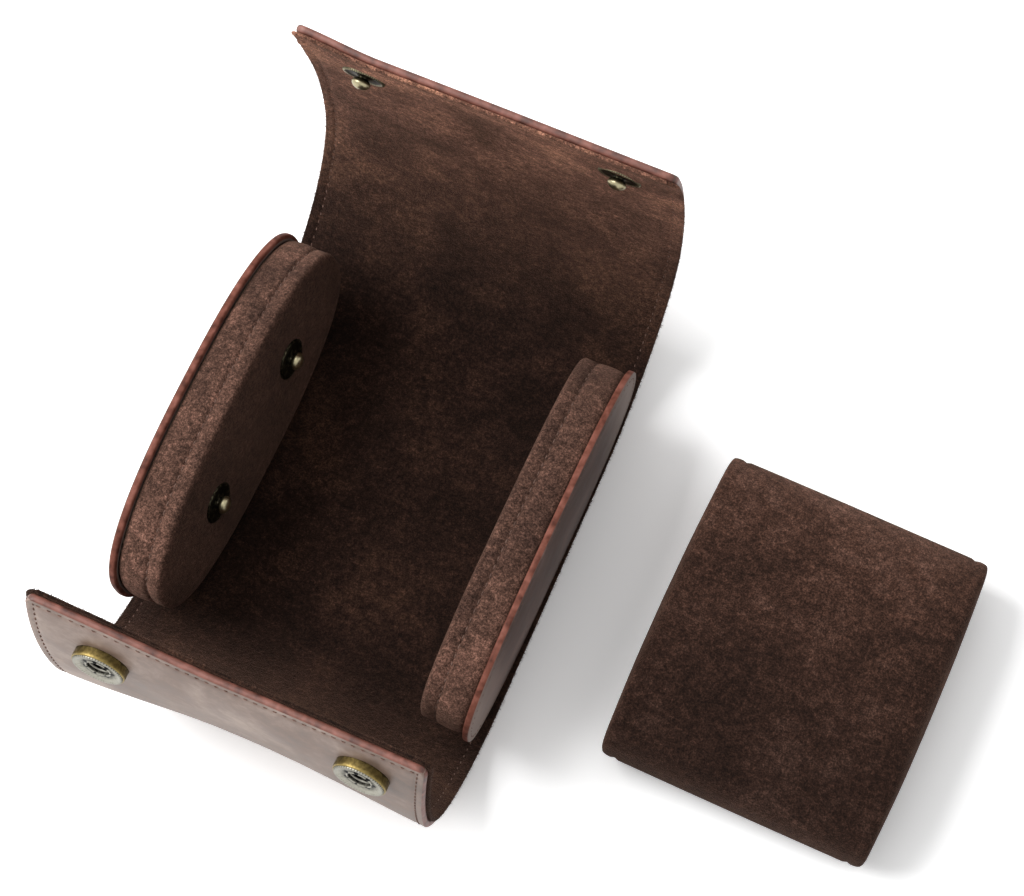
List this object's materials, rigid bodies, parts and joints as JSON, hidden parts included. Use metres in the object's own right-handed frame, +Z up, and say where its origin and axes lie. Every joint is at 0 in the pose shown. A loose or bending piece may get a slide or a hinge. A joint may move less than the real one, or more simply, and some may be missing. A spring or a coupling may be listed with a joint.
{
  "type": "watch travel case",
  "caption": "Leather watch travel case shown open: a suede-lined strip folds round padded end caps and shuts with press studs, its lift-out watch cushion beside it.",
  "frame": {"origin": "centre of the flat underside of the case, on the table, between the two end caps", "axes": "+Z up, +X from the studded end cap to the plain one, +Y from the front flap to the lid"},
  "size_m": [0.1862, 0.1496, 0.1043],
  "materials": {
    "wrap_leather": "waxed pull-up cowhide, scuffed, semi-matt",
    "disc_leather": "waxed pull-up cowhide, dark, slightly glossy, burnished edge",
    "lining_suede": "napped suede lining, blotchy brown",
    "cap_suede": "napped suede drawn over padding",
    "cushion_suede": "napped suede sewn round a soft core",
    "stiffener_board": "grey stiffener board",
    "padding_foam": "open-cell polyurethane padding",
    "stud_brass": "antique brass plating, darkened",
    "stud_nickel": "nickel silver, brushed and worn"
  },
  "bodies": {
    "base": {"base_leather": "wrap_leather", "base_lining": "lining_suede", "cap_leather_left": "disc_leather", "cap_leather_right": "disc_leather", "cap_board_left": "stiffener_board", "cap_board_right": "stiffener_board", "cap_foam_left": "padding_foam", "cap_foam_right": "padding_foam", "cap_band_left": "cap_suede", "cap_band_right": "cap_suede", "cap_face_left": "cap_suede", "cap_face_right": "cap_suede", "cap_studs": "stud_brass", "cap_stud_posts": "stud_brass"},
    "lid_lower": {"lid_leather_lower": "wrap_leather", "lid_lining_lower": "lining_suede"},
    "lid_upper": {"lid_leather_upper": "wrap_leather", "lid_lining_upper": "lining_suede", "lid_studs": "stud_brass", "lid_stud_caps": "stud_brass"},
    "flap_lower": {"flap_leather_lower": "wrap_leather", "flap_lining_lower": "lining_suede"},
    "flap_upper": {"flap_leather_upper": "wrap_leather", "flap_lining_upper": "lining_suede", "socket_cases": "stud_brass", "socket_faces": "stud_nickel", "socket_springs": "stud_nickel", "socket_backs": "stud_brass"},
    "cushion": {"cushion_cover": "cushion_suede", "cushion_foam": "padding_foam", "cushion_sockets": "stud_brass", "cushion_socket_backs": "stud_brass"}
  },
  "joints": [
    {"name": "lid_hinge", "type": "hinge", "parent": "base", "child": "lid_lower", "pos_m": [0, 0.027, 0.0026], "axis": [1, 0, 0], "range_deg": [0, 14.5]},
    {"name": "lid_fold", "type": "hinge", "parent": "lid_lower", "child": "lid_upper", "pos_m": [0, 0.05821, 0.01522], "axis": [1, 0, 0], "range_deg": [0, 59.9]},
    {"name": "flap_hinge", "type": "hinge", "parent": "base", "child": "flap_lower", "pos_m": [0, -0.0315, 0.0026], "axis": [-1, 0, 0], "range_deg": [0, 22.3]},
    {"name": "flap_fold", "type": "hinge", "parent": "flap_lower", "child": "flap_upper", "pos_m": [0, -0.06398, 0.02009], "axis": [-1, 0, 0], "range_deg": [0, 57.6]},
    {"name": "cushion_lift", "type": "slide", "parent": "base", "child": "cushion", "axis": [0, 0, 1], "range_m": [0, 0.06]}
  ],
  "couplings": [
    {"joint": "lid_fold", "follows": "lid_hinge", "ratio": 4.131},
    {"joint": "flap_fold", "follows": "flap_hinge", "ratio": 2.583}
  ]
}
